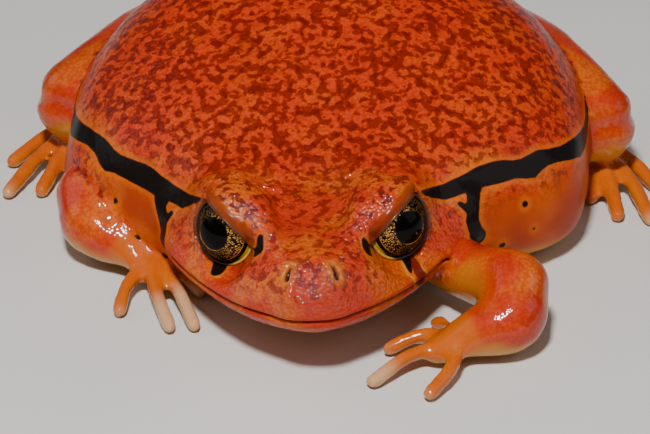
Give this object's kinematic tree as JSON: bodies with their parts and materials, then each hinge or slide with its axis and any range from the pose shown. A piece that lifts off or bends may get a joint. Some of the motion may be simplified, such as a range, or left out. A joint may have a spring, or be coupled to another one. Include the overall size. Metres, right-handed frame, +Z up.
{
  "type": "tomato frog, still life-size model",
  "caption": "Life-size tomato frog resting on the floor, head raised on its forelegs, hind legs folded against its round body; a still display model.",
  "frame": {"origin": "middle of the box that holds the frog, at floor level", "axes": "+Y from snout to rump, +X the frog's left side, +Z up; the part rests on Z = 0"},
  "size_m": [0.0924, 0.092, 0.0313],
  "materials": {
    "back_skin": "moist, finely granular, orange-red with dark red mottling and a near-black side stripe",
    "throat_skin": "moist, smooth, yellow-orange paling towards the belly",
    "limb_skin": "moist, finely granular, orange-red above and yellow-orange inside",
    "digit_skin": "moist, smooth, orange-yellow with paler tips",
    "eye": "wet and clear, gold iris with fine black veins round a large black pupil"
  },
  "bodies": {
    "root": {"head": "back_skin", "torso": "back_skin", "lower_jaw": "throat_skin", "upper_arm_left": "limb_skin", "upper_arm_right": "limb_skin", "forearm_left": "limb_skin", "forearm_right": "limb_skin", "hand_left": "digit_skin", "hand_right": "digit_skin", "thigh_left": "limb_skin", "thigh_right": "limb_skin", "shank_left": "limb_skin", "shank_right": "limb_skin", "foot_left": "digit_skin", "foot_right": "digit_skin", "eye_left": "eye", "eye_right": "eye"}
  },
  "joints": []
}
